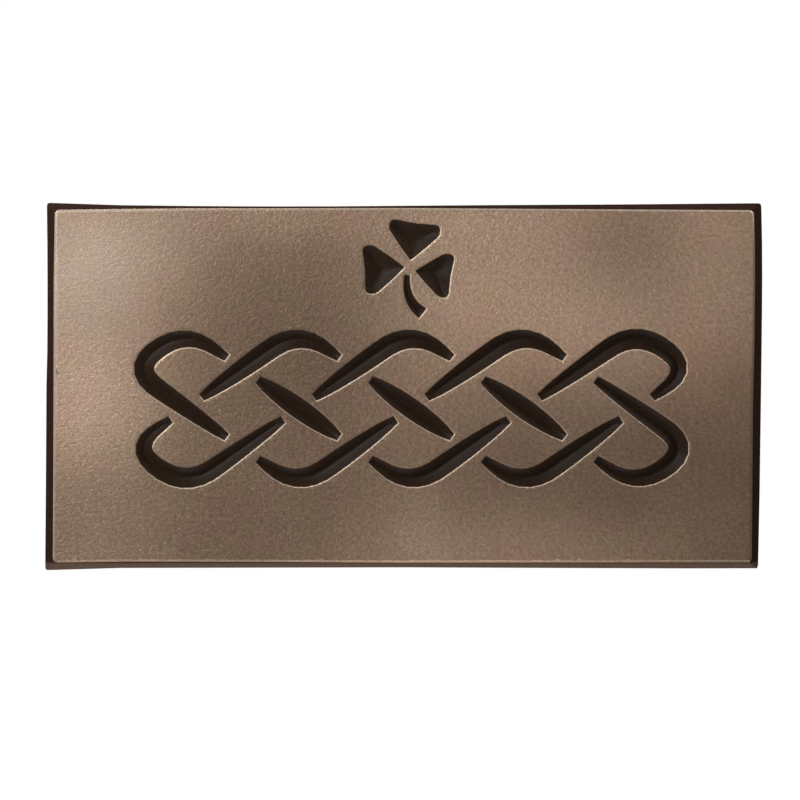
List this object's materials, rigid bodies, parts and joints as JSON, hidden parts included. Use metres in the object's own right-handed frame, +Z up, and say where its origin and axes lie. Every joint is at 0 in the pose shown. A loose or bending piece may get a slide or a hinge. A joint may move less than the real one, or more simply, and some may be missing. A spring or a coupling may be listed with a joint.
{
  "type": "welcome plaque",
  "caption": "Rectangular cast bronze wall plaque with leaning side walls, a carved interlaced knot and a shamrock on its face, and blind stud holes in its flat back.",
  "frame": {"origin": "middle of the flat back face, which bears on the wall", "axes": "+X to the right and +Z up as one faces the plaque, +Y into the wall, so the carved face looks along -Y"},
  "size_m": [0.2311, 0.01, 0.1184],
  "materials": {
    "bronze": "satin rubbed bronze on the face, dark brown patina on the walls and in the carving"
  },
  "bodies": {
    "root": {"plaque": "bronze"}
  },
  "joints": []
}
